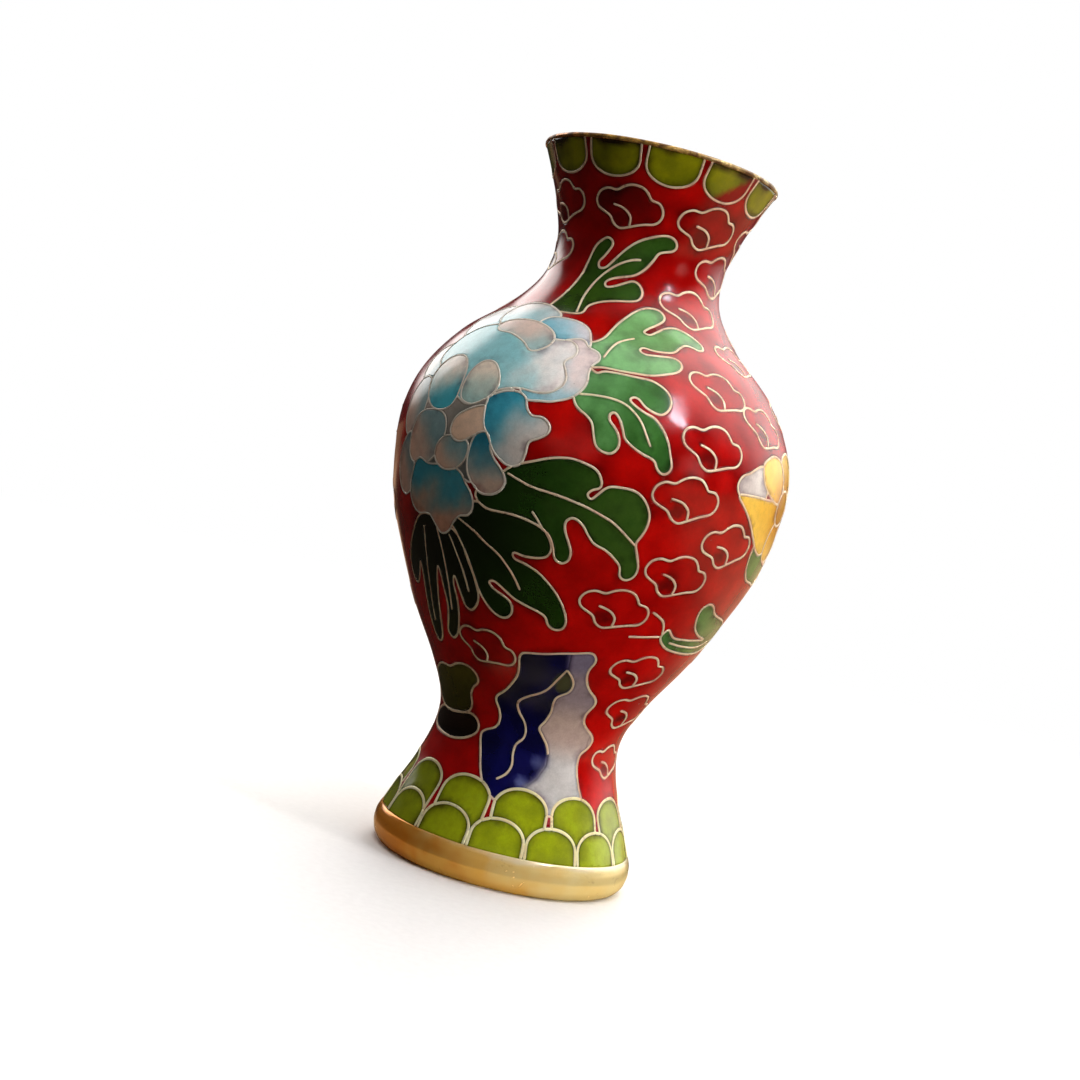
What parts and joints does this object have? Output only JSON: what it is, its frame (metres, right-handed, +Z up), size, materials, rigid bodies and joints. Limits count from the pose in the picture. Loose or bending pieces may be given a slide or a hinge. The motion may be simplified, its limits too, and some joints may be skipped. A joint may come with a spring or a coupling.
{
  "type": "cloisonne vase",
  "caption": "Small baluster vase with flared neck and foot: spun copper body, gilt rings, and enamel cells walled by fine gilt wires.",
  "frame": {"origin": "centre of the foot ring's resting face", "axes": "+Z up along the vase's turning axis, -Y towards the front of the design, +X to its right"},
  "size_m": [0.055, 0.055, 0.1],
  "materials": {
    "copper": "spun copper, dull",
    "gilt_ring": "polished gilt",
    "gilt_wire": "ground flush and gilt",
    "lining_enamel": "thin gloss counter-enamel",
    "red_enamel": "polished gloss enamel",
    "olive_enamel": "polished gloss enamel",
    "petal_blue_enamel": "polished gloss enamel shaded to pinkish white",
    "yellow_enamel": "polished gloss enamel",
    "white_enamel": "polished gloss enamel",
    "light_leaf_enamel": "polished gloss enamel",
    "dark_leaf_enamel": "polished gloss enamel",
    "navy_enamel": "polished gloss enamel",
    "rock_white_enamel": "polished gloss enamel",
    "bush_enamel": "polished gloss enamel",
    "soil_enamel": "polished gloss enamel"
  },
  "bodies": {
    "root": {"copper_neck": "copper", "copper_shoulder": "copper", "copper_lower_body": "copper", "copper_foot_skirt": "copper", "base_plate": "copper", "foot_ring": "gilt_ring", "lip_ring": "gilt_ring", "inner_enamel": "lining_enamel", "base_enamel": "lining_enamel", "ground_enamel": "red_enamel", "cloud_wires": "gilt_wire", "lip_scallop_wires": "gilt_wire", "lip_scallop_enamel": "olive_enamel", "upper_scallop_wires": "gilt_wire", "upper_scallop_enamel": "olive_enamel", "lower_scallop_wires": "gilt_wire", "lower_scallop_enamel": "olive_enamel", "peony_wires": "gilt_wire", "peony_enamel": "petal_blue_enamel", "yellow_flower_wires": "gilt_wire", "yellow_petal_enamel": "yellow_enamel", "white_petal_enamel": "white_enamel", "leaf_wires": "gilt_wire", "light_leaf_enamel": "light_leaf_enamel", "dark_leaf_enamel": "dark_leaf_enamel", "rock_wires": "gilt_wire", "rock_blue_enamel": "navy_enamel", "rock_white_enamel": "rock_white_enamel", "bush_wires": "gilt_wire", "bush_enamel": "bush_enamel", "soil_enamel": "soil_enamel"}
  },
  "joints": []
}
